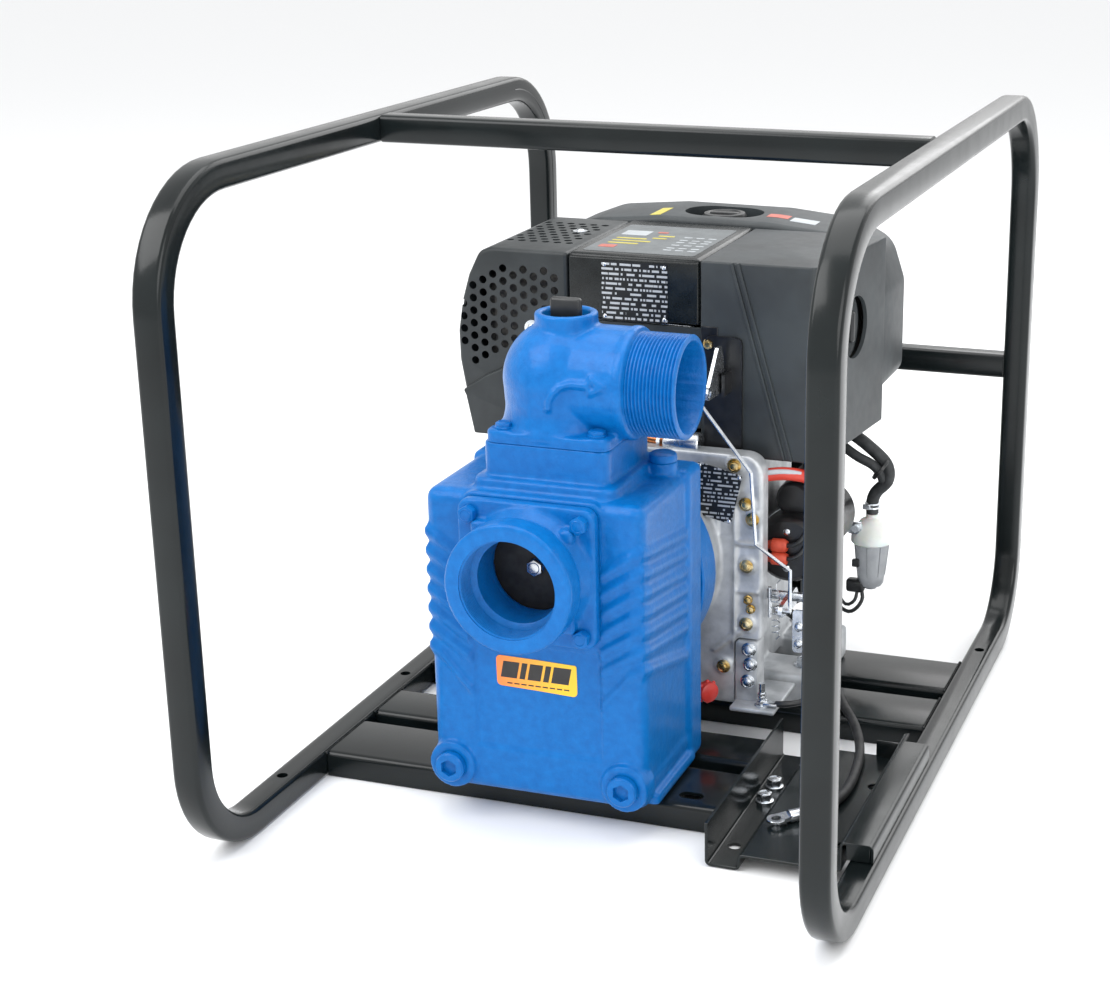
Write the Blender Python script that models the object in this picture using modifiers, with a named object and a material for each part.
"""Engine-driven trash pump in a two-hoop carrying frame, as an assembly of separate parts.

Metres, +Z up. X runs across the frame, Y from the pump (front, -Y) to the fuel tank (rear, +Y).
The origin is on the ground, under the middle of the frame. The crankshaft and the impeller turn
about one axis along Y. Pieces that touch keep a gap of GAP between their meshes.
"""

import math

import bmesh
import bpy
from mathutils import Matrix, Vector

# ------------------------------------------------------------------ driving dimensions
GAP = 0.0003

FRAME_WIDTH = 0.560
FRAME_LENGTH = 0.800
FRAME_HEIGHT = 0.584
TUBE = 0.025
TUBE_WALL = 0.002
LOW_BEND = 0.0795
HIGH_BEND = 0.0975
RAIL_TOP = 0.024
RAIL_SHEET = 0.003
TRAY_SHEET = 0.0025

SHAFT_X = -0.030
SHAFT_Z = 0.186
SHAFT_RADIUS = 0.0125
JOURNAL_RADIUS = 0.015
THROW = 0.035
CRANKPIN_Y = 0.088
CYLINDER_BORE = 0.086
IMPELLER_RADIUS = 0.072

CASING_X = -0.0305
CASING_WIDTH = 0.199
CASING_FRONT = -0.2186
CASING_REAR = -0.075
CASING_BOTTOM = RAIL_TOP + 0.0013
CASING_TOP = 0.301
CASING_WALL = 0.008
SUCTION_Z = 0.238
PORT_RADIUS = 0.038
ELBOW_X = -0.028
ELBOW_Y = -0.147
PLINTH_TOP = 0.3405
DISCHARGE_Z = 0.388
THREAD_RADIUS = 0.0443
FILLER_X = -0.024
DRAIN_XS = (-0.1105, 0.0506)
DRAIN_Z = 0.048

COWL_FRONT = 0.020
COWL_SEAM = 0.190
TANK_REAR = 0.288
HOUSING_REAR = 0.302
COWL_TOP = 0.460
CRANKCASE_BOTTOM = 0.045
CRANKCASE_TOP = 0.275

CAM_X = SHAFT_X + 0.054
CAM_Z = SHAFT_Z - 0.038
STARTER_X = 0.120
STARTER_Z = 0.188
CLEANER_Y = 0.108
CLEANER_Z = 0.388
LID_RADIUS = 0.029
FILTER_X = 0.157
FILTER_Y = 0.216
CAP_X = -0.0075
CAP_Y = 0.237

LEVER_REACH = 0.040
ROD_Y = -0.022
SPEED_PIVOT = (0.129, ROD_Y + LEVER_REACH, 0.148)
HAND_PIVOT = (0.062, 0.008, 0.351)
PIN_HOLE = 0.0039

ROUND_STEPS = 20
CABLE_RADIUS = 0.0045

AXIS_TURNS = {
    "x": (math.radians(90), 0.0, math.radians(90)),
    "y": (math.radians(90), 0.0, 0.0),
    "z": (0.0, 0.0, 0.0),
}
SCREW_TURNS = {
    "x": (0.0, math.radians(90), 0.0),
    "y": (math.radians(-90), 0.0, 0.0),
    "z": (0.0, 0.0, 0.0),
}


# ------------------------------------------------------------------ scene and finishes
def clear_scene():
    for obj in list(bpy.data.objects):
        bpy.data.objects.remove(obj)


def make_collection(name, hidden=False):
    collection = bpy.data.collections.new(name)
    collection.hide_render = hidden
    bpy.context.scene.collection.children.link(collection)
    return collection


def make_material(name, colour, roughness, metallic=0.0):
    material = bpy.data.materials.new(name)
    material.use_nodes = True
    shader = material.node_tree.nodes["Principled BSDF"]
    shader.inputs["Base Color"].default_value = (*colour, 1.0)
    shader.inputs["Roughness"].default_value = roughness
    shader.inputs["Metallic"].default_value = metallic
    material.diffuse_color = (*colour, 1.0)
    return material


clear_scene()
PARTS = make_collection("trash_pump")
CUTTERS = make_collection("cutters", hidden=True)
FRAME_PAINT = make_material("black_powder_coat", (0.012, 0.013, 0.014), 0.3)
PUMP_PAINT = make_material("blue_pump_paint", (0.01, 0.16, 0.62), 0.45)
COWL_PLASTIC = make_material("grey_black_plastic", (0.035, 0.038, 0.042), 0.55)
GUARD_PAINT = make_material("guard_paint", (0.022, 0.023, 0.025), 0.5, 0.2)
CASTING = make_material("cast_aluminium", (0.42, 0.43, 0.45), 0.45, 0.8)
IRON = make_material("cast_iron", (0.12, 0.12, 0.13), 0.6, 0.7)
STEEL = make_material("machined_steel", (0.55, 0.56, 0.58), 0.3, 1.0)
ZINC = make_material("zinc_plate", (0.62, 0.64, 0.66), 0.35, 1.0)
RUBBER = make_material("black_rubber", (0.015, 0.015, 0.015), 0.8)
CERAMIC = make_material("seal_carbon", (0.05, 0.05, 0.055), 0.4)
GASKET = make_material("gasket_fibre", (0.05, 0.06, 0.05), 0.85)
RED_PLASTIC = make_material("red_plastic", (0.62, 0.05, 0.04), 0.4)
WHITE_PLASTIC = make_material("clear_white_plastic", (0.72, 0.74, 0.75), 0.35)
PAPER = make_material("filter_paper", (0.62, 0.48, 0.25), 0.9)
BLACK_PAINT = make_material("black_enamel", (0.015, 0.016, 0.018), 0.4)


# ------------------------------------------------------------------ modelling helpers
def add_object(name, data, material=None):
    obj = bpy.data.objects.new(name, data)
    PARTS.objects.link(obj)
    if material:
        data.materials.append(material)
    return obj


def smooth(obj):
    obj.data.shade_smooth()
    obj.data.set_sharp_from_angle(angle=math.radians(35))
    return obj


def from_bmesh(name, bm, material=None):
    mesh = bpy.data.meshes.new(name)
    bm.to_mesh(mesh)
    bm.free()
    return smooth(add_object(name, mesh, material))


def block(name, low, high, material=None, radius=0.0, segments=2, upright_only=False):
    """A box from corner low to corner high, with its edges rounded."""
    size = Vector(high) - Vector(low)
    middle = (Vector(high) + Vector(low)) / 2
    bm = bmesh.new()
    bmesh.ops.create_cube(bm, size=1.0)
    bmesh.ops.scale(bm, vec=size, verts=bm.verts)
    bmesh.ops.translate(bm, vec=middle, verts=bm.verts)
    if radius:
        edges = bm.edges[:]
        if upright_only:
            edges = [e for e in edges if abs(e.verts[0].co.z - e.verts[1].co.z) > size.z / 2]
        bmesh.ops.bevel(
            bm, geom=edges, offset=radius, segments=segments, profile=0.5,
            affect="EDGES", clamp_overlap=True,
        )
    return from_bmesh(name, bm, material)


def rod(name, start, end, radius, material=None, steps=ROUND_STEPS):
    """A solid cylinder between two points."""
    start, end = Vector(start), Vector(end)
    along = end - start
    turn = Vector((0, 0, 1)).rotation_difference(along).to_matrix().to_4x4()
    bm = bmesh.new()
    bmesh.ops.create_cone(
        bm, cap_ends=True, segments=steps, radius1=radius, radius2=radius, depth=along.length,
        matrix=Matrix.Translation((start + end) / 2) @ turn,
    )
    return from_bmesh(name, bm, material)


def turned(name, profile, axis, centre, material=None, closed=False, steps=ROUND_STEPS):
    """A lathe shape: the profile's (radius, height) points run down its outer side."""
    bm = bmesh.new()
    corners = [bm.verts.new((radius, 0.0, height)) for radius, height in profile]
    for first, second in zip(corners, corners[1:] + (corners[:1] if closed else [])):
        bm.edges.new((first, second))
    mesh = bpy.data.meshes.new(name)
    bm.to_mesh(mesh)
    bm.free()
    obj = add_object(name, mesh, material)
    screw = obj.modifiers.new("Turn", "SCREW")
    screw.axis = "Z"
    screw.steps = steps
    screw.render_steps = steps
    screw.use_merge_vertices = True
    screw.merge_threshold = 0.00001
    screw.use_smooth_shade = True
    obj.location = centre
    obj.rotation_euler = SCREW_TURNS[axis]
    return obj


def ring(name, outer, inner, top, bottom, axis, centre, material=None, steps=ROUND_STEPS):
    profile = ((inner, top), (outer, top), (outer, bottom), (inner, bottom))
    return turned(name, profile, axis, centre, material, closed=True, steps=steps)


def extruded(name, loops, axis, start, end, material=None):
    """A flat outline, given across an axis, that runs along it from start to end."""
    curve = bpy.data.curves.new(name, "CURVE")
    curve.dimensions = "2D"
    curve.fill_mode = "BOTH"
    curve.extrude = (end - start) / 2
    for loop in loops:
        spline = curve.splines.new("POLY")
        spline.points.add(len(loop) - 1)
        for point, (u, v) in zip(spline.points, loop):
            point.co = (u, v, 0.0, 1.0)
        spline.use_cyclic_u = True
    obj = add_object(name, curve, material)
    obj.rotation_euler = AXIS_TURNS[axis]
    obj.location["xyz".index(axis)] = (start + end) / 2
    return obj


def tube(name, points, radius, material, resolution=2):
    """A round wire, hose or cable along a smooth curve through the points."""
    curve = bpy.data.curves.new(name, "CURVE")
    curve.dimensions = "3D"
    curve.bevel_depth = radius
    curve.bevel_resolution = resolution
    curve.use_fill_caps = True
    spline = curve.splines.new("POLY")
    spline.points.add(len(points) - 1)
    for knot, point in zip(spline.points, points):
        knot.co = (*point, 1.0)
    return add_object(name, curve, material)


def as_mesh(obj):
    """The mesh of a curve, or of an object with modifiers, in place of the object."""
    bpy.context.view_layer.update()
    evaluated = obj.evaluated_get(bpy.context.evaluated_depsgraph_get())
    mesh = bpy.data.meshes.new_from_object(evaluated)
    bm = bmesh.new()
    bm.from_mesh(mesh)
    bmesh.ops.remove_doubles(bm, verts=bm.verts, dist=0.000001)
    bmesh.ops.recalc_face_normals(bm, faces=bm.faces)
    bm.to_mesh(mesh)
    bm.free()
    name, place = obj.name, obj.matrix_world.copy()
    bpy.data.objects.remove(obj)
    made = smooth(add_object(name, mesh))
    made.matrix_world = place
    return made


def put_origin(obj, point):
    """Moves a mesh's origin to a point, such as its joint's axis, and leaves its shape in place."""
    shift = obj.matrix_world.inverted() @ Vector(point)
    obj.data.transform(Matrix.Translation(-shift))
    obj.location = point
    return obj


def boolean(obj, others, operation):
    for other in others:
        modifier = obj.modifiers.new(other.name, "BOOLEAN")
        modifier.operation = operation
        modifier.solver = "EXACT"
        modifier.object = other
        PARTS.objects.unlink(other)
        CUTTERS.objects.link(other)
        other.hide_render = True
        other.display_type = "WIRE"
    return obj


def join(obj, *others):
    return boolean(obj, others, "UNION")


def cut(obj, *others):
    return boolean(obj, others, "DIFFERENCE")


# ------------------------------------------------------------------ outlines
def circle(radius, centre=(0.0, 0.0), steps=ROUND_STEPS):
    turns = (math.tau * step / steps for step in range(steps))
    return [(centre[0] + radius * math.cos(a), centre[1] + radius * math.sin(a)) for a in turns]


def arc(radius, first, last, centre=(0.0, 0.0), steps=8):
    """Points on an arc between two angles in degrees."""
    turns = [math.radians(first + (last - first) * step / steps) for step in range(steps + 1)]
    return [(centre[0] + radius * math.cos(a), centre[1] + radius * math.sin(a)) for a in turns]


def rounded_rectangle(low, high, radii, steps=4):
    """A rectangle's outline with round corners: one radius, or four, from the high corner leftwards."""
    points = []
    if isinstance(radii, float):
        radii = (radii,) * 4
    corners = ((high[0], high[1], -1, -1), (low[0], high[1], 1, -1),
               (low[0], low[1], 1, 1), (high[0], low[1], -1, 1))
    for quarter, (radius, (u, v, inward_u, inward_v)) in enumerate(zip(radii, corners)):
        centre = (u + inward_u * radius, v + inward_v * radius)
        points += arc(radius, 90 * quarter, 90 * quarter + 90, centre, steps)
    return points


def rectangle(low, high):
    return [low, (high[0], low[1]), high, (low[0], high[1])]


def strip(points, thickness):
    """The outline of a bent sheet whose one face passes through the points, left to right."""
    points = [Vector(point) for point in points]
    ways = [(b - a).normalized() for a, b in zip(points, points[1:])]
    normals = [Vector((-way.y, way.x)) for way in ways]
    other_face = []
    for before, after, point in zip([normals[0]] + normals, normals + [normals[-1]], points):
        other_face.append(point + (before + after) * thickness / (1 + before.dot(after)))
    return [tuple(point) for point in points] + [tuple(point) for point in reversed(other_face)]


def smooth_route(knots, spacing):
    """Points a set distance apart on a Catmull-Rom curve through the knots."""
    knots = [Vector(knot) for knot in knots]
    ends = [2 * knots[0] - knots[1]] + knots + [2 * knots[-1] - knots[-2]]
    fine = []
    for p0, p1, p2, p3 in zip(ends, ends[1:], ends[2:], ends[3:]):
        for step in range(20):
            t = step / 20
            fine.append(
                0.5 * (2 * p1 + (p2 - p0) * t + (2 * p0 - 5 * p1 + 4 * p2 - p3) * t ** 2
                       + (3 * p1 - p0 - 3 * p2 + p3) * t ** 3)
            )
    fine.append(knots[-1])
    length = sum((b - a).length for a, b in zip(fine, fine[1:]))
    count = max(2, round(length / spacing))
    route, passed, target = [fine[0]], 0.0, length / count
    for a, b in zip(fine, fine[1:]):
        step = (b - a).length
        while passed + step >= target - 1e-9 and len(route) < count:
            route.append(a.lerp(b, (target - passed) / step))
            target += length / count
        passed += step
    return route + [fine[-1]]


# ------------------------------------------------------------------ frame
def hoop(name, x, hole_ys):
    """A closed hoop of square tube in the plane X = x; drain holes open its hollow."""
    half_length = (FRAME_LENGTH - TUBE) / 2
    path = rounded_rectangle(
        (-half_length, TUBE / 2), (half_length, FRAME_HEIGHT - TUBE / 2),
        (HIGH_BEND, HIGH_BEND, LOW_BEND, LOW_BEND), steps=6,
    )
    corner = TUBE / 2 - 0.003
    sections = {
        name: rounded_rectangle((-TUBE / 2,) * 2, (TUBE / 2,) * 2, TUBE / 2 - corner, steps=1),
        name + "_hollow": rectangle((TUBE_WALL - TUBE / 2,) * 2, (TUBE / 2 - TUBE_WALL,) * 2),
    }
    swept = []
    for sweep_name, section in sections.items():
        shape = extruded(sweep_name + "_section", [section], "z", 0.0, 0.0)
        path_object = extruded(sweep_name, [path], "x", x, x)
        path_object.data.fill_mode = "NONE"
        path_object.data.bevel_mode = "OBJECT"
        path_object.data.bevel_object = shape
        swept.append(as_mesh(path_object))
        bpy.data.objects.remove(shape)
    body, hollow = swept
    body.data.materials.append(FRAME_PAINT)
    holes = [
        rod(f"{name}_hole_{index}", (x, y, TUBE / 2), (x, y, 2 * TUBE), 0.005, steps=12)
        for index, y in enumerate(hole_ys)
    ]
    return cut(body, hollow, *holes)


def crossbar(name, y, z):
    """A straight square tube between the hoops."""
    half = FRAME_WIDTH / 2 - TUBE - GAP
    outer = rectangle((y - TUBE / 2, z - TUBE / 2), (y + TUBE / 2, z + TUBE / 2))
    bore = TUBE / 2 - TUBE_WALL
    inner = rectangle((y - bore, z - bore), (y + bore, z + bore))
    return extruded(name, [outer, inner], "x", -half, half, FRAME_PAINT)


def rail(name, front, rear, right_end, slots=()):
    """A folded channel, open underneath, that carries the pump or the engine."""
    left_end = TUBE + GAP - FRAME_WIDTH / 2
    bends = ((rear, 0.0005), (rear, RAIL_TOP), (front, RAIL_TOP), (front, 0.0005))
    channel = extruded(name, [strip(bends, RAIL_SHEET)], "x", left_end, right_end, FRAME_PAINT)
    if not slots:
        return channel
    channel = as_mesh(channel)
    cutters = [
        extruded(
            f"{name}_slot_{index}", [rounded_rectangle((x - 0.011, y - 0.005),
                                                       (x + 0.011, y + 0.005), 0.0049, 3)],
            "z", RAIL_TOP - 0.01, RAIL_TOP + 0.01,
        )
        for index, (x, y) in enumerate(slots)
    ]
    return cut(channel, *[as_mesh(cutter) for cutter in cutters])


TRAY_LEFT = 0.131
TRAY_FRONT = -0.246
TRAY_REAR = -0.019
TRAY_FLOOR = 0.0130
TRAY_HOLES = ((0.146, -0.209, 0.0), (0.238, -0.085, TRAY_FLOOR), (0.240, -0.203, TRAY_FLOOR))


def battery_tray():
    """A folded sheet that hangs over the right hoop's bottom tube and meets the pump rails."""
    over_tube = 0.042
    lip = 0.274
    bends = (
        (TRAY_LEFT, 0.040), (TRAY_LEFT, 0.0005), (0.162, 0.0005), (0.162, TRAY_FLOOR),
        (0.250, TRAY_FLOOR), (0.250, over_tube), (lip, over_tube), (lip, TUBE + 0.0008),
    )
    sheet = extruded("battery_tray", [strip(bends, TRAY_SHEET)], "y", TRAY_FRONT, TRAY_REAR, FRAME_PAINT)
    sheet = as_mesh(sheet)
    stop = block("tray_stop", (0.2235, TRAY_REAR - 0.003, TRAY_FLOOR + 0.001),
                 (0.2495, TRAY_REAR, 0.031))
    holes = [
        rod(f"tray_hole_{index}", (x, y, z - 0.01), (x, y, z + 0.01), 0.006, steps=12)
        for index, (x, y, z) in enumerate(TRAY_HOLES)
    ]
    return cut(join(sheet, stop), *holes)


def build_frame():
    side = FRAME_WIDTH / 2 - TUBE / 2
    hoop("left_hoop", -side, (-0.248, 0.0))
    hoop("right_hoop", side, (0.242,))
    crossbar("top_crossbar", -0.008, FRAME_HEIGHT - TUBE / 2)
    crossbar("rear_crossbar", FRAME_LENGTH / 2 - TUBE / 2, 0.292)
    full = FRAME_WIDTH / 2 - TUBE - GAP
    rail("front_pump_rail", -0.189, -0.111, TRAY_LEFT - GAP, ((0.095, -0.175),))
    rail("rear_pump_rail", -0.091, -0.033, TRAY_LEFT - GAP)
    rail("front_engine_rail", 0.037, 0.109, full)
    rail("rear_engine_rail", 0.130, 0.206, full)
    battery_tray()


# ------------------------------------------------------------------ pump
def pump_casing():
    """The wet end's casting: a hollow box, open behind for the adapter, with four ports."""
    left = CASING_X - CASING_WIDTH / 2
    right = CASING_X + CASING_WIDTH / 2
    cavity_top = CASING_TOP - CASING_WALL - 0.002
    body = block("pump_casing", (left, CASING_FRONT, CASING_BOTTOM),
                 (right, CASING_REAR, CASING_TOP), PUMP_PAINT, radius=0.012)
    plinth = block("casing_plinth", (-0.082, -0.200, CASING_TOP - 0.010), (0.031, -0.094, PLINTH_TOP),
                   radius=0.008, upright_only=True)
    bosses = [
        rod(f"drain_boss_{index}", (x, CASING_FRONT + 0.006, DRAIN_Z), (x, CASING_FRONT - 0.006, DRAIN_Z),
            0.020)
        for index, x in enumerate(DRAIN_XS)
    ]
    port_boss = rod("port_boss", (0.050, -0.115, CASING_TOP - 0.005), (0.050, -0.115, 0.312), 0.013, steps=12)
    join(body, plinth, port_boss, *bosses)
    cavity = block("casing_cavity", (left + CASING_WALL, CASING_FRONT + CASING_WALL, CASING_BOTTOM + 0.010),
                   (right - CASING_WALL, CASING_REAR - 0.010, cavity_top))
    mouth = rod("casing_mouth", (SHAFT_X, CASING_REAR - 0.015, SHAFT_Z),
                (SHAFT_X, CASING_REAR + 0.005, SHAFT_Z), 0.092, steps=28)
    suction = rod("casing_suction", (CASING_X, CASING_FRONT - 0.005, SUCTION_Z),
                  (CASING_X, CASING_FRONT + 0.012, SUCTION_Z), PORT_RADIUS)
    outlet = rod("casing_outlet", (ELBOW_X, ELBOW_Y, cavity_top - 0.005),
                 (ELBOW_X, ELBOW_Y, PLINTH_TOP + 0.005), PORT_RADIUS)
    drains = [
        rod(f"drain_bore_{index}", (x, CASING_FRONT - 0.010, DRAIN_Z), (x, CASING_FRONT + 0.012, DRAIN_Z),
            0.0105, steps=16)
        for index, x in enumerate(DRAIN_XS)
    ]
    port = rod("port_bore", (0.050, -0.115, cavity_top - 0.005), (0.050, -0.115, 0.320), 0.0063, steps=12)
    cut(body, cavity, mouth, suction, outlet, port, *drains)


def drain_plugs():
    """Hexagon-headed plugs that screw into the casing's lowest corners."""
    for side, x in zip(("left", "right"), DRAIN_XS):
        face = CASING_FRONT - 0.006 - GAP
        head = rod(f"drain_plug_{side}", (x, face, DRAIN_Z), (x, face - 0.007, DRAIN_Z), 0.0145,
                   PUMP_PAINT, steps=16)
        stem = rod(f"drain_stem_{side}", (x, face - 0.002, DRAIN_Z), (x, face + 0.012, DRAIN_Z), 0.0100,
                   steps=16)
        socket = rod(f"drain_socket_{side}", (x, face - 0.010, DRAIN_Z), (x, face - 0.003, DRAIN_Z),
                     0.0055, steps=6)
        cut(join(put_origin(head, (x, face, DRAIN_Z)), stem), socket)


def port_plug():
    head = rod("port_plug", (0.050, -0.115, 0.312 + GAP), (0.050, -0.115, 0.320), 0.0125, PUMP_PAINT, steps=6)
    stem = rod("port_stem", (0.050, -0.115, 0.302), (0.050, -0.115, 0.314), 0.0058, steps=12)
    join(head, stem)


def suction_flange():
    """A square bolted flange with a tapered neck and a ring for the hose coupling."""
    seat = CASING_FRONT - 0.0023
    half = 0.062
    gasket_holes = [circle(0.0045, (CASING_X + u * 0.050, SUCTION_Z + v * 0.050), 8)
                    for u in (-1, 1) for v in (-1, 1)]
    square = rounded_rectangle((CASING_X - half, SUCTION_Z - half), (CASING_X + half, SUCTION_Z + half),
                               0.010, steps=2)
    bore = circle(PORT_RADIUS, (CASING_X, SUCTION_Z))
    extruded("suction_gasket", [square, bore] + gasket_holes, "y", seat + GAP, CASING_FRONT - GAP, GASKET)
    plate = as_mesh(extruded("suction_flange", [square, circle(0.040, (CASING_X, SUCTION_Z))], "y",
                            seat - 0.011, seat))
    plate.data.materials.append(PUMP_PAINT)
    front = CASING_FRONT - 0.055
    neck = turned(
        "suction_neck",
        ((0.036, seat - 0.001), (0.053, seat - 0.001), (0.053, seat - 0.009), (0.046, seat - 0.028),
         (0.056, seat - 0.030), (0.056, front), (0.042, front), (0.042, front + 0.022),
         (0.036, front + 0.022)),
        "y", (CASING_X, 0.0, SUCTION_Z), closed=True, steps=24,
    )
    join(plate, neck)


FLAP_FACE = CASING_FRONT + CASING_WALL + GAP
FLAP_HINGE_Z = SUCTION_Z + 0.048


def check_valve():
    """The rubber flap that hangs behind the suction port, and the clamp plates and bolt on it."""
    tab = 20
    outline = arc(0.040, 90 + tab, 450 - tab, (CASING_X, SUCTION_Z), steps=18)
    tab_half = 0.040 * math.sin(math.radians(tab))
    outline += [(CASING_X + tab_half, FLAP_HINGE_Z), (CASING_X - tab_half, FLAP_HINGE_Z)]
    flap = as_mesh(extruded("flapper", [outline, circle(0.0050, (CASING_X, SUCTION_Z), 10)], "y",
                           FLAP_FACE, FLAP_FACE + 0.005))
    flap.data.materials.append(RUBBER)
    put_origin(flap, (CASING_X, FLAP_FACE, FLAP_HINGE_Z))
    back = FLAP_FACE + 0.005 + GAP
    front = FLAP_FACE - GAP
    turned(
        "flapper_weight",
        ((0.0, back + 0.005), (0.026, back + 0.005), (0.026, back), (0.0045, back), (0.0045, front),
         (0.008, front), (0.008, front - 0.0055), (0.0, front - 0.0055)),
        "y", (CASING_X, 0.0, SUCTION_Z), STEEL, steps=16,
    )


def volute_and_wear_plate():
    """The scroll insert round the impeller, and the replaceable plate in front of it."""
    scroll = ring("volute", 0.090, 0.076, -0.0865, -0.1137, "y", (SHAFT_X, 0.0, SHAFT_Z), IRON, 28)
    throat = block("volute_throat", (SHAFT_X + 0.005, -0.106, SHAFT_Z + 0.050),
                   (SHAFT_X + 0.050, -0.092, SHAFT_Z + 0.100))
    cut(scroll, throat)
    ring("wear_plate", 0.090, 0.032, -0.1140, -0.1180, "y", (SHAFT_X, 0.0, SHAFT_Z), STEEL, 28)


def impeller():
    """A two-vane open impeller on the end of the crankshaft."""
    centre = (SHAFT_X, 0.0, SHAFT_Z)
    hub = turned(
        "impeller",
        ((0.0, -0.088), (IMPELLER_RADIUS, -0.088), (IMPELLER_RADIUS, -0.093), (0.020, -0.096),
         (0.018, -0.114), (0.012, -0.116), (0.0, -0.116)),
        "y", centre, IRON, steps=24,
    )
    vanes = []
    for index in range(2):
        curve = [
            (SHAFT_X + (0.014 + 0.056 * t) * math.cos(math.pi * index + 1.9 * t),
             SHAFT_Z + (0.014 + 0.056 * t) * math.sin(math.pi * index + 1.9 * t))
            for t in (step / 7 for step in range(8))
        ]
        vanes.append(as_mesh(extruded(f"vane_{index}", [strip(curve, 0.006)], "y", -0.1115, -0.0915)))
    bore = rod("impeller_bore", (SHAFT_X, -0.1045, SHAFT_Z), (SHAFT_X, -0.080, SHAFT_Z),
               SHAFT_RADIUS + GAP, steps=ROUND_STEPS)
    cut(join(hub, *vanes), bore)


def pump_adapter():
    """The disc that bolts the casing to the engine and holds the shaft seal."""
    turned(
        "pump_adapter",
        ((0.080, -0.040), (0.110, -0.040), (0.110, -0.0747), (0.091, -0.0747), (0.091, -0.086),
         (0.017, -0.086), (0.017, -0.062), (0.080, -0.062)),
        "y", (SHAFT_X, 0.0, SHAFT_Z), PUMP_PAINT, closed=True, steps=32,
    )
    ring("mechanical_seal", 0.0167, SHAFT_RADIUS + GAP, -0.0625, -0.0855, "y",
         (SHAFT_X, 0.0, SHAFT_Z), CERAMIC)


def discharge_elbow():
    """A hollow cast elbow with a bolted foot, a threaded outlet and a filling neck on top."""
    foot = PLINTH_TOP + 0.0023
    crown = arc(0.0515, 90, -36, steps=6)
    flange = block("discharge_elbow", (-0.080, -0.200, foot), (0.031, -0.094, foot + 0.011),
                   PUMP_PAINT, radius=0.008, upright_only=True)
    parts = [
        rod("elbow_barrel", (ELBOW_X, ELBOW_Y, foot + 0.005), (ELBOW_X, ELBOW_Y, DISCHARGE_Z), 0.049, steps=24),
        rod("elbow_collar", (0.0335, ELBOW_Y, DISCHARGE_Z), (0.042, ELBOW_Y, DISCHARGE_Z), 0.048, steps=24),
        rod("elbow_thread", (ELBOW_X, ELBOW_Y, DISCHARGE_Z), (0.088, ELBOW_Y, DISCHARGE_Z), THREAD_RADIUS,
            steps=24),
        turned("elbow_crown", crown + [(0.0, crown[-1][1])], "z", (ELBOW_X, ELBOW_Y, DISCHARGE_Z), steps=24),
        rod("filling_neck", (FILLER_X, ELBOW_Y, 0.410), (FILLER_X, ELBOW_Y, 0.446), 0.027, steps=24),
    ]
    join(flange, *parts)
    bores = [
        rod("elbow_bore", (ELBOW_X, ELBOW_Y, PLINTH_TOP - 0.005), (ELBOW_X, ELBOW_Y, DISCHARGE_Z + 0.006),
            PORT_RADIUS),
        rod("outlet_bore", (ELBOW_X - 0.004, ELBOW_Y, DISCHARGE_Z), (0.100, ELBOW_Y, DISCHARGE_Z),
            PORT_RADIUS + 0.0005),
        rod("filler_bore", (FILLER_X, ELBOW_Y, 0.395), (FILLER_X, ELBOW_Y, 0.460), 0.0205),
    ]
    cut(flange, *bores)
    square = rectangle((-0.079, -0.199), (0.030, -0.095))
    extruded("elbow_gasket", [square, circle(PORT_RADIUS, (ELBOW_X, ELBOW_Y))], "z",
            PLINTH_TOP + GAP, foot - GAP, GASKET)


def fill_plug():
    """The threaded filling plug and its bar handle."""
    seat = 0.434
    plug = rod("fill_plug", (FILLER_X, ELBOW_Y, seat - 0.012), (FILLER_X, ELBOW_Y, seat), 0.0200, BLACK_PAINT)
    bar = block("plug_bar", (FILLER_X - 0.014, ELBOW_Y - 0.004, seat - 0.002),
                (FILLER_X + 0.014, ELBOW_Y + 0.004, seat + 0.024), radius=0.003)
    join(put_origin(plug, (FILLER_X, ELBOW_Y, seat)), bar)


def build_pump():
    pump_casing()
    drain_plugs()
    port_plug()
    suction_flange()
    check_valve()
    volute_and_wear_plate()
    impeller()
    pump_adapter()
    discharge_elbow()
    fill_plug()


# ------------------------------------------------------------------ engine: block and running gear
def crankcase():
    """The engine block: open in front under the gear cover, with feet on the engine rails."""
    body = block("crankcase", (-0.130, 0.010, CRANKCASE_BOTTOM), (0.084, 0.180, CRANKCASE_TOP),
                 CASTING, radius=0.010, upright_only=True)
    feet = [
        block(f"foot_{index}", (left, front, RAIL_TOP + GAP), (left + 0.085, front + 0.050, 0.058))
        for index, (left, front) in enumerate(
            ((-0.155, 0.045), (0.055, 0.045), (-0.155, 0.140), (0.055, 0.140)))
    ]
    bearing_boss = rod("bearing_boss", (SHAFT_X, 0.158, SHAFT_Z), (SHAFT_X, 0.175, SHAFT_Z), 0.040)
    hollow = block("crankcase_hollow", (-0.122, 0.000, 0.053), (0.076, 0.172, 0.267))
    deck = rod("cylinder_hole", (SHAFT_X, CRANKPIN_Y, 0.260), (SHAFT_X, CRANKPIN_Y, 0.285), 0.046)
    seat = rod("rear_seat", (SHAFT_X, 0.150, SHAFT_Z), (SHAFT_X, 0.190, SHAFT_Z), 0.0283)
    join(body, *feet)
    cut(body, hollow)
    join(body, bearing_boss)
    cut(body, deck, seat)
    ring("rear_bearing", 0.028, JOURNAL_RADIUS + GAP, 0.179, 0.160, "y", (SHAFT_X, 0.0, SHAFT_Z), STEEL)


DIPSTICK_START = Vector((0.062, -0.030, 0.062))
DIPSTICK_WAY = Vector((-0.8, 0.6, 0.0))


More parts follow.
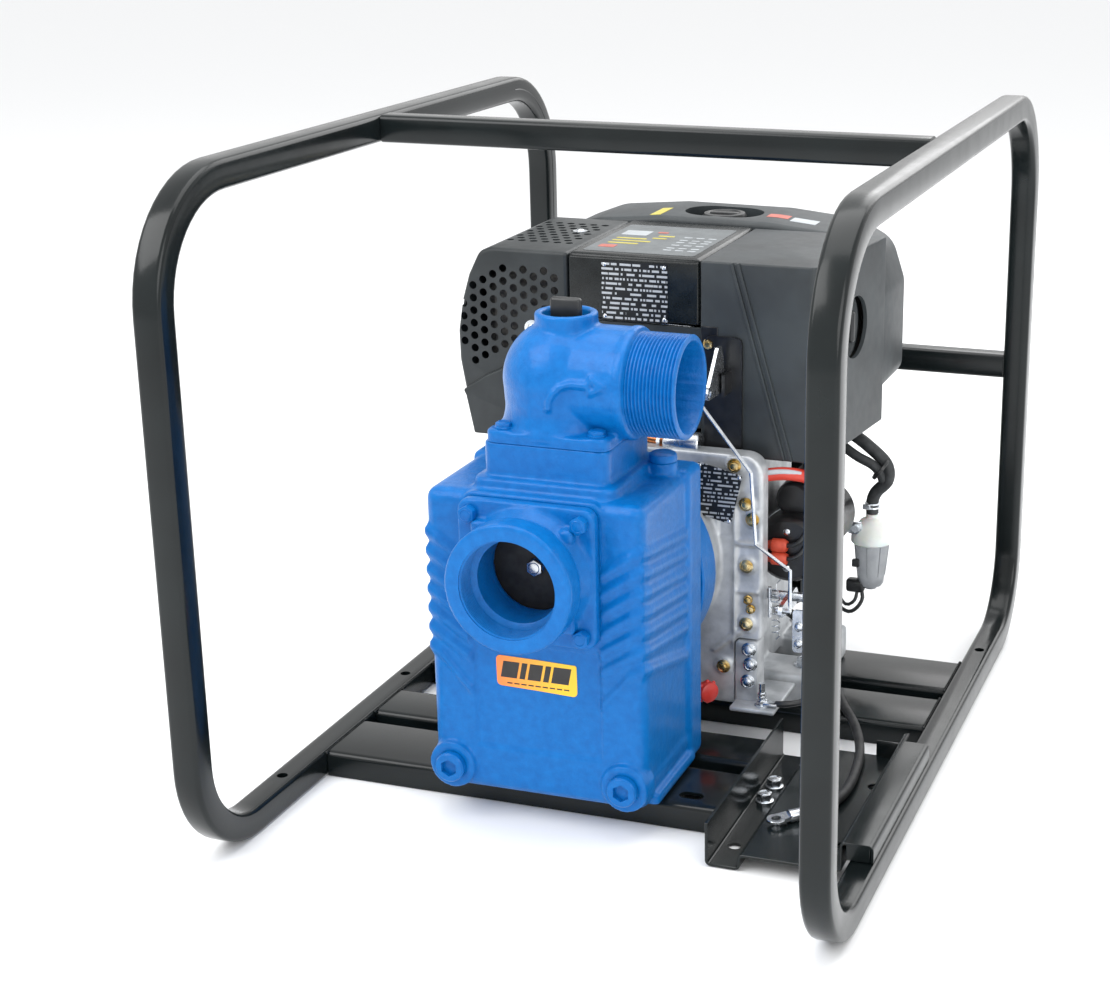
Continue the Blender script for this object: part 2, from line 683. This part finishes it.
def gear_cover():
    """The cover that closes the crankcase's front and carries the pump adapter."""
    outline = rounded_rectangle((-0.130, CRANKCASE_BOTTOM), (0.109, 0.285), 0.018, steps=3)
    plate = as_mesh(extruded("gear_cover", [outline, circle(0.0283, (SHAFT_X, SHAFT_Z))], "y",
                            -0.012, 0.010 - GAP))
    plate.data.materials.append(CASTING)
    bell = ring("gear_cover_bell", 0.104, 0.088, -0.010, -0.0397, "y", (SHAFT_X, 0.0, SHAFT_Z), steps=32)
    hub = ring("gear_cover_hub", 0.040, 0.0283, -0.008, -0.020, "y", (SHAFT_X, 0.0, SHAFT_Z))
    stick_hole = rod("stick_hole", DIPSTICK_START + 0.012 * DIPSTICK_WAY,
                     DIPSTICK_START + 0.070 * DIPSTICK_WAY, 0.004, steps=10)
    cut(join(plate, bell, hub), stick_hole)
    ring("front_bearing", 0.028, JOURNAL_RADIUS + GAP, 0.007, -0.018, "y", (SHAFT_X, 0.0, SHAFT_Z), STEEL)


def crankshaft():
    """Front shaft with the timing gear, two counterweighted webs, the crankpin and the rear shaft."""
    centre = (SHAFT_X, 0.0, SHAFT_Z)
    front = turned(
        "crankshaft",
        ((0.0, 0.067), (JOURNAL_RADIUS, 0.067), (JOURNAL_RADIUS, 0.021), (0.0218, 0.021), (0.0218, 0.012),
         (JOURNAL_RADIUS, 0.012), (JOURNAL_RADIUS, -0.020), (SHAFT_RADIUS, -0.020),
         (SHAFT_RADIUS, -0.104), (0.0, -0.104)),
        "y", centre, STEEL,
    )
    rear = turned(
        "crank_rear",
        ((0.0, 0.236), (SHAFT_RADIUS, 0.236), (SHAFT_RADIUS, 0.186), (JOURNAL_RADIUS, 0.186),
         (JOURNAL_RADIUS, 0.109), (0.0, 0.109)),
        "y", centre,
    )
    outline = arc(0.015, 20, 160, (SHAFT_X, SHAFT_Z + THROW), 6)
    outline += arc(0.050, 205, 335, (SHAFT_X, SHAFT_Z), 10)
    webs = [
        as_mesh(extruded(f"web_{index}", [outline], "y", start, start + 0.012))
        for index, start in enumerate((0.066, 0.098))
    ]
    pin = rod("crankpin", (SHAFT_X, 0.077, SHAFT_Z + THROW), (SHAFT_X, 0.099, SHAFT_Z + THROW), 0.013)
    join(front, webs[0], pin, webs[1], rear)


def camshaft():
    """Half-speed shaft: the timing gear and two cams."""
    centre = (CAM_X, 0.0, CAM_Z)
    shaft = turned(
        "camshaft",
        ((0.0, 0.150), (0.007, 0.150), (0.007, 0.0205), (0.0438, 0.0205), (0.0438, 0.0125),
         (0.007, 0.0125), (0.007, 0.011), (0.0, 0.011)),
        "y", centre, STEEL, steps=24,
    )
    cams = []
    for index, (start, turn) in enumerate(((0.056, 100), (0.104, 210))):
        lobe = arc(0.010, turn + 70, turn + 290, (CAM_X, CAM_Z), 8)
        nose = (CAM_X + 0.007 * math.cos(math.radians(turn)), CAM_Z + 0.007 * math.sin(math.radians(turn)))
        lobe += arc(0.006, turn - 60, turn + 60, nose, 4)
        cams.append(as_mesh(extruded(f"cam_{index}", [lobe], "y", start, start + 0.010)))
    join(shaft, *cams)


def cylinder_and_head():
    """Finned barrel, head, rocker cover and the piston at the top of its stroke."""
    centre = (SHAFT_X, CRANKPIN_Y, 0.0)
    bore = CYLINDER_BORE / 2
    points = [(bore, 0.360), (0.052, 0.360)]
    for fin in range(4):
        top = 0.350 - 0.018 * fin
        points += [(0.052, top), (0.064, top - 0.001), (0.064, top - 0.003), (0.052, top - 0.004)]
    points += [(0.052, CRANKCASE_TOP + GAP), (bore, CRANKCASE_TOP + GAP)]
    turned("cylinder", points, "z", centre, IRON, closed=True)
    head = block("cylinder_head", (-0.080, 0.033, 0.3603), (0.020, 0.143, 0.418), CASTING, radius=0.006)
    ports = [
        rod("exhaust_port", (-0.090, CRANKPIN_Y, 0.385), (-0.045, CRANKPIN_Y, 0.385), 0.010, steps=12),
        rod("inlet_port", (0.030, CRANKPIN_Y, 0.392), (-0.012, CRANKPIN_Y, 0.392), 0.012, steps=12),
    ]
    cut(head, *ports)
    cover = block("rocker_cover", (-0.070, 0.045, 0.4183), (0.010, 0.131, 0.446), BLACK_PAINT, radius=0.008)
    cut(cover, block("rocker_hollow", (-0.066, 0.049, 0.410), (0.006, 0.127, 0.442)))
    piston = turned(
        "piston",
        ((0.0, 0.3575), (bore - 0.0004, 0.3575), (bore - 0.0004, 0.300), (0.037, 0.300), (0.037, 0.345),
         (0.0, 0.345)),
        "z", centre, CASTING,
    )
    gudgeon = rod("gudgeon_pin", (SHAFT_X, CRANKPIN_Y - 0.040, 0.325), (SHAFT_X, CRANKPIN_Y + 0.040, 0.325),
                  0.010, steps=12)
    join(piston, gudgeon)


def flywheel():
    """Flywheel and cooling fan on the crankshaft's rear end."""
    centre = (SHAFT_X, 0.0, SHAFT_Z)
    disc = turned(
        "flywheel",
        ((SHAFT_RADIUS + GAP, 0.232), (0.026, 0.232), (0.026, 0.212), (0.084, 0.212), (0.088, 0.208),
         (0.088, 0.196), (0.026, 0.196), (0.022, 0.187), (SHAFT_RADIUS + GAP, 0.187)),
        "y", centre, IRON, closed=True, steps=32,
    )
    blades = []
    for index in range(10):
        turn = math.tau * index / 10
        blade = block(f"fan_blade_{index}", (0.046, 0.208, -0.0015), (0.082, 0.230, 0.0015))
        blade.data.transform(Matrix.Translation(centre) @ Matrix.Rotation(turn, 4, "Y"))
        blades.append(blade)
    join(disc, *blades)


# ------------------------------------------------------------------ engine: cowls, air, exhaust, fuel
def hollow_shell(name, outline, axis, start, end, wall, open_low, material):
    """A moulded or pressed cover: an outline with a wall, open at the low end of its last axis."""
    shell = as_mesh(extruded(name, [outline], axis, start, end))
    shell.data.materials.append(material)
    us = [u for u, _ in outline]
    vs = [v for _, v in outline]
    middle = ((min(us) + max(us)) / 2, (min(vs) + max(vs)) / 2)
    spans = (max(us) - min(us), max(vs) - min(vs))
    inner = [
        (middle[0] + (u - middle[0]) * (1 - 2 * wall / spans[0]),
         middle[1] + (v - middle[1]) * (1 - 2 * wall / spans[1]))
        for u, v in outline
    ]
    if open_low:
        inner = [(u, v - 0.02 if v < middle[1] - spans[1] * 0.45 else v) for u, v in inner]
    hollow = as_mesh(extruded(name + "_hollow", [inner], axis, start + wall, end - wall))
    return cut(shell, hollow)


def muffler_and_guard():
    """The silencer box with its inlet pipe, inside a pressed guard that is open underneath."""
    box = block("muffler", (-0.190, 0.045, 0.305), (-0.100, 0.165, 0.428), IRON, radius=0.014)
    pipe = rod("exhaust_pipe", (-0.105, CRANKPIN_Y, 0.385), (-0.0803, CRANKPIN_Y, 0.385), 0.011, steps=12)
    tail = rod("tail_pipe", (-0.150, 0.105, 0.315), (-0.150, 0.105, 0.282), 0.013, steps=12)
    tail_bore = rod("tail_bore", (-0.150, 0.105, 0.330), (-0.150, 0.105, 0.270), 0.010, steps=12)
    cut(join(box, pipe, tail), tail_bore)
    outline = [(-0.0907, 0.277), (-0.0907, COWL_TOP), (-0.168, COWL_TOP), (-0.181, 0.454),
               (-0.199, 0.408), (-0.204, 0.378), (-0.204, 0.277)]
    guard = hollow_shell("muffler_guard", outline, "y", COWL_FRONT, COWL_SEAM, 0.002, True, GUARD_PAINT)
    passage = block("guard_passage", (-0.100, 0.060, 0.260), (-0.080, 0.120, 0.400))
    vents = [
        block(f"guard_vent_{index}", (-0.190, 0.010, z), (-0.110, 0.030, z + 0.006))
        for index, z in enumerate((0.330, 0.360, 0.390))
    ]
    cut(guard, passage, *vents)


def air_duct_cover():
    """The pressed cover over the cylinder head, open underneath."""
    duct = block("air_duct_cover", (-0.0897, COWL_FRONT, 0.399), (0.0385, COWL_SEAM - 0.0005, COWL_TOP + 0.001),
                 COWL_PLASTIC, radius=0.0)
    hollow = block("duct_hollow", (-0.0872, COWL_FRONT + 0.0025, 0.390), (0.036, COWL_SEAM - 0.003, COWL_TOP - 0.0015))
    cut(duct, hollow)


def air_cleaner():
    """Moulded housing with a round lid in its side, the paper element inside, and the lid's knob."""
    outer = [(0.039, COWL_FRONT), (0.142, COWL_FRONT), (0.152, 0.028), (0.172, 0.188), (0.039, 0.188)]
    inner = [(0.042, COWL_FRONT + 0.003), (0.140, COWL_FRONT + 0.003), (0.149, 0.030), (0.1685, 0.185),
             (0.042, 0.185)]
    body = as_mesh(extruded("air_cleaner_housing", [outer], "z", 0.278, COWL_TOP))
    body.data.materials.append(COWL_PLASTIC)
    hollow = as_mesh(extruded("cleaner_hollow", [inner], "z", 0.260, COWL_TOP - 0.003))
    recess = rod("cleaner_recess", (0.140, CLEANER_Y, CLEANER_Z), (0.190, CLEANER_Y, CLEANER_Z), LID_RADIUS + 0.0005,
                 steps=24)
    cut(body, hollow, recess)
    turned(
        "air_cleaner_lid",
        ((0.0, 0.152), (LID_RADIUS - 0.007, 0.152), (LID_RADIUS - 0.004, 0.158), (LID_RADIUS, 0.158),
         (LID_RADIUS, 0.146), (0.0, 0.146)),
        "x", (0.0, CLEANER_Y, CLEANER_Z), COWL_PLASTIC, steps=24,
    )
    ring("air_filter_element", 0.036, 0.020, 0.1455, 0.060, "x", (0.0, CLEANER_Y, CLEANER_Z), PAPER)
    knob = rod("air_cleaner_knob", (0.1523, CLEANER_Y, CLEANER_Z), (0.162, CLEANER_Y, CLEANER_Z), 0.017,
               BLACK_PAINT, steps=12)
    put_origin(knob, (0.1523, CLEANER_Y, CLEANER_Z))


def fuel_tank():
    """The moulded tank behind the cowls, with its cap sunk in a pocket in the top."""
    outline = [(-0.188, 0.290), (0.166, 0.290), (0.168, 0.400), (0.155, 0.440), (0.120, 0.458),
               (0.050, 0.465), (-0.060, 0.466), (-0.130, 0.460), (-0.172, 0.444), (-0.188, 0.410)]
    pocket_floor = 0.451
    tank = hollow_shell("fuel_tank", outline, "y", COWL_SEAM + 0.002, TANK_REAR, 0.004, False, COWL_PLASTIC)
    cup = block("tank_cup", (CAP_X - 0.044, CAP_Y - 0.032, pocket_floor - 0.004),
                (CAP_X + 0.044, CAP_Y + 0.032, 0.463))
    pocket = block("tank_pocket", (CAP_X - 0.040, CAP_Y - 0.028, pocket_floor),
                   (CAP_X + 0.040, CAP_Y + 0.028, 0.480), radius=0.012, upright_only=True)
    neck = rod("tank_neck", (CAP_X, CAP_Y, 0.440), (CAP_X, CAP_Y, 0.460), 0.019)
    cut(join(tank, cup), pocket, neck)
    turned(
        "fuel_cap",
        ((0.0, 0.465), (0.019, 0.465), (0.022, 0.462), (0.022, pocket_floor + GAP),
         (0.0185, pocket_floor + GAP), (0.0185, 0.442), (0.0, 0.442)),
        "z", (CAP_X, CAP_Y, 0.0), BLACK_PAINT,
    )


def fan_housing():
    """The scroll behind the block that the flywheel fan draws its air through."""
    housing = block("fan_housing", (-0.150, COWL_SEAM + 0.0005, 0.066), (0.090, HOUSING_REAR, 0.2895),
                    COWL_PLASTIC, radius=0.016)
    hollow = block("fan_hollow", (-0.1465, 0.150, 0.070), (0.0865, HOUSING_REAR - 0.0035, 0.286), radius=0.013)
    intake = rod("fan_intake", (SHAFT_X, HOUSING_REAR - 0.020, SHAFT_Z), (SHAFT_X, HOUSING_REAR + 0.010, SHAFT_Z),
                 0.062, steps=24)
    bars = [
        block(f"intake_bar_{index}", (SHAFT_X - 0.070, HOUSING_REAR - 0.003, SHAFT_Z - 0.002 + offset),
              (SHAFT_X + 0.070, HOUSING_REAR - 0.0005, SHAFT_Z + 0.002 + offset))
        for index, offset in enumerate((-0.030, 0.0, 0.030))
    ]
    cut(housing, hollow, intake)
    join(housing, *bars)


def fuel_filter():
    """The see-through filter that hangs beside the tank, with its hoses."""
    turned(
        "fuel_filter",
        ((0.0, 0.170), (0.006, 0.170), (0.008, 0.160), (0.018, 0.152), (0.0195, 0.140), (0.016, 0.136),
         (0.013, 0.100), (0.010, 0.098), (0.010, 0.080), (0.0, 0.080)),
        "z", (FILTER_X, FILTER_Y, 0.0), WHITE_PLASTIC, steps=16,
    )
    route = smooth_route(((0.118, 0.222, 0.2829), (0.118, 0.222, 0.270), (0.128, 0.219, 0.256),
                          (0.150, 0.216, 0.242), (0.170, 0.216, 0.224), (0.172, 0.216, 0.207),
                          (0.161, 0.216, 0.194), (FILTER_X, FILTER_Y, 0.184),
                          (FILTER_X, FILTER_Y, 0.1706)), 0.011)
    tube("filter_hose", route, 0.0065, RUBBER)
    rod("tank_spigot", (0.118, 0.222, 0.2897), (0.118, 0.222, 0.2834), 0.005, BLACK_PAINT, steps=10)


# ------------------------------------------------------------------ engine: auxiliaries and controls
def starter():
    body = turned(
        "starter_motor",
        ((0.0, 0.172), (0.028, 0.172), (0.033, 0.166), (0.033, 0.052), (0.026, 0.048), (0.026, 0.032),
         (0.0, 0.032)),
        "y", (STARTER_X, 0.0, STARTER_Z), BLACK_PAINT,
    )
    solenoid = rod("solenoid", (STARTER_X, 0.050, 0.232), (STARTER_X, 0.128, 0.232), 0.017, steps=16)
    join(body, solenoid)


def injection():
    pump = block("injection_pump", (0.046, 0.060, CRANKCASE_TOP + GAP), (0.076, 0.098, 0.318), CASTING,
                 radius=0.004, segments=1)
    barrel = rod("pump_barrel", (0.061, 0.079, 0.312), (0.061, 0.079, 0.340), 0.009, steps=12)
    join(pump, barrel)
    rod("injector", (SHAFT_X, 0.0385, 0.4185), (SHAFT_X, 0.0385, 0.440), 0.0045, STEEL, steps=12)


def dipstick():
    """Red-headed oil dipstick, a stand-in straight stick along its own tilted axis."""
    start = DIPSTICK_START
    head = rod("oil_dipstick", start - 0.006 * DIPSTICK_WAY, start + 0.008 * DIPSTICK_WAY, 0.010, RED_PLASTIC,
               steps=16)
    stick = rod("stick", start + 0.005 * DIPSTICK_WAY, start + 0.100 * DIPSTICK_WAY, 0.0025, steps=8)
    join(put_origin(head, start), stick)


def controls():
    """Governor arm low on the block, the hand lever above it, and the bent rod that links them."""
    px, py, pz = SPEED_PIVOT
    arm_outline = arc(0.009, -90, 90, (py, pz), 6) + arc(0.006, 90, 270, (ROD_Y, pz), 5)
    arm = as_mesh(extruded("speed_lever", [arm_outline, circle(0.0029, (ROD_Y, pz), 10)], "x", px, px + 0.004))
    arm.data.materials.append(ZINC)
    spindle = rod("speed_spindle", (0.0843, py, pz), (0.146, py, pz), 0.0045, steps=12)
    join(put_origin(arm, SPEED_PIVOT), spindle)

    hx, hy, hz = HAND_PIVOT
    hand_rod_y = hy - LEVER_REACH
    bracket = as_mesh(extruded("control_bracket", [rounded_rectangle((0.044, 0.2758), (0.080, 0.392), 0.006, 2)],
                              "y", COWL_FRONT - 0.0035, COWL_FRONT - GAP))
    bracket.data.materials.append(ZINC)
    ear = block("bracket_ear", (hx + 0.0045, hy - 0.010, hz - 0.010), (hx + 0.0075, COWL_FRONT - 0.001, hz + 0.010))
    hand_pin = rod("hand_pin", (hx - 0.003, hy, hz), (hx + 0.006, hy, hz), 0.0035, steps=10)
    join(bracket, ear, hand_pin)

    hand_outline = arc(0.008, -90, 30, (hy, hz), 5)
    hand_outline += [(hy - 0.004, hz + 0.036), (hy - 0.014, hz + 0.036)]
    hand_outline += arc(0.006, 90, 270, (hand_rod_y, hz), 5)
    holes = [circle(PIN_HOLE, (y, hz), 10) for y in (hy, hand_rod_y)]
    hand = as_mesh(extruded("hand_lever", [hand_outline] + holes, "x", hx, hx + 0.003))
    hand.data.materials.append(ZINC)
    put_origin(hand, HAND_PIVOT)

    route = ((px + 0.010, ROD_Y, pz), (px + 0.010, ROD_Y, pz + 0.040), (0.106, ROD_Y, 0.210),
             (0.101, ROD_Y, 0.278), (hx - 0.004, hand_rod_y, hz - 0.012), (hx - 0.004, hand_rod_y, hz + 0.003))
    link = as_mesh(tube("control_rod", route, 0.0018, None))
    link.data.materials.append(ZINC)
    low_pin = rod("rod_low_pin", (px - 0.003, ROD_Y, pz), (px + 0.011, ROD_Y, pz), 0.0022, steps=8)
    high_pin = rod("rod_high_pin", (hx - 0.005, hand_rod_y, hz), (hx + 0.005, hand_rod_y, hz), 0.0022, steps=8)
    join(put_origin(link, (px, ROD_Y, pz)), low_pin, high_pin)


CABLE_KNOTS = (
    (0.0855, 0.120, 0.092), (0.098, 0.120, 0.091), (0.120, 0.116, 0.074), (0.142, 0.102, 0.046),
    (0.156, 0.084, 0.0305), (0.166, 0.066, 0.0290), (0.177, 0.044, 0.0290), (0.191, 0.020, 0.0275),
    (0.202, -0.004, 0.0240), (0.210, -0.030, 0.0212), (0.215, -0.060, 0.0204), (0.218, -0.095, 0.0204),
    (0.216, -0.126, 0.0204), (0.206, -0.152, 0.0204), (0.191, -0.168, 0.0204),
)


def battery_lead():
    """The loose battery lead that lies in the tray, its ring terminal and its stud on the block."""
    route = smooth_route(CABLE_KNOTS, 0.012)
    tube("battery_cable", route, CABLE_RADIUS, RUBBER)
    way = (Vector(CABLE_KNOTS[-1]) - Vector(CABLE_KNOTS[-2])).normalized()
    start = Vector(CABLE_KNOTS[-1]) + way * GAP
    barrel = rod("cable_lug", start, start + 0.014 * way, 0.0046, STEEL, steps=12)
    eye = start + 0.022 * way
    palm = ring("lug_palm", 0.011, 0.0042, 0.0020, -0.0008, "z", eye)
    join(barrel, palm)


def build_engine():
    crankcase()
    gear_cover()
    crankshaft()
    camshaft()
    cylinder_and_head()
    flywheel()
    muffler_and_guard()
    air_duct_cover()
    air_cleaner()
    fuel_tank()
    fan_housing()
    fuel_filter()
    starter()
    injection()
    dipstick()
    controls()
    battery_lead()


build_frame()
build_pump()
build_engine()
